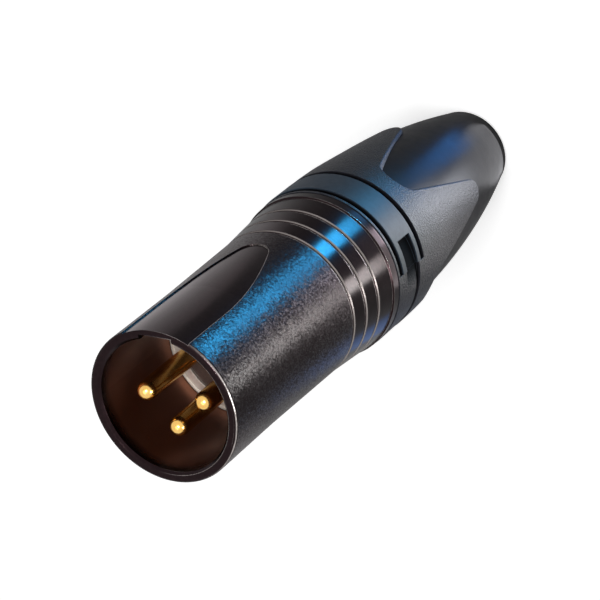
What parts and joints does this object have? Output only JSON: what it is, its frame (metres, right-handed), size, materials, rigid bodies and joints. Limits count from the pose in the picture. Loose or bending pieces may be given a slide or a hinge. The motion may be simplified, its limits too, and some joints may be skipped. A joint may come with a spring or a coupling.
{
  "type": "cable connector plug",
  "caption": "Round cable plug with contact pins in a metal socket shell, a screw-on boot with petals and a soft gland.",
  "frame": {"origin": "centre of the tail's end face, on the surface that the plug stands on", "axes": "+Z along the plug's axis from the tail to the front rim; -Y towards the side with the keyway and the smooth tongue; +X towards the second contact"},
  "size_m": [0.0216, 0.0216, 0.0776],
  "materials": {
    "black_chrome": "black chrome over die-cast zinc, grained in front and smooth behind",
    "carrier_polyamide": "moulded glass-filled polyamide",
    "gold_plating": "polished gold plating",
    "nickel_plating": "satin nickel plating",
    "chuck_acetal": "moulded acetal",
    "boot_polyamide": "fine spark-eroded texture",
    "ring_polyamide": "satin moulded",
    "gland_elastomer": "smooth soft elastomer"
  },
  "bodies": {
    "plug_body": {"shell": "black_chrome", "contact_carrier": "carrier_polyamide", "contact_pin_1": "gold_plating", "contact_pin_2": "gold_plating", "contact_pin_3": "gold_plating", "earth_contact": "nickel_plating"},
    "chuck": {"cable_chuck": "chuck_acetal"},
    "boot": {"boot_sleeve": "boot_polyamide", "coding_ring": "ring_polyamide", "boot_gland": "gland_elastomer"}
  },
  "joints": [
    {"name": "chuck_travel", "type": "slide", "parent": "plug_body", "child": "chuck", "axis": [0, 0, -1], "range_m": [0, 0.006]},
    {"name": "boot_turn", "type": "hinge", "parent": "chuck", "child": "boot", "pos_m": [0, 0, 0.0408], "axis": [0, 0, -1], "range_deg": [0, 1440]}
  ],
  "couplings": [
    {"joint": "chuck_travel", "follows": "boot_turn", "m_per_rad": 0.00023873}
  ]
}
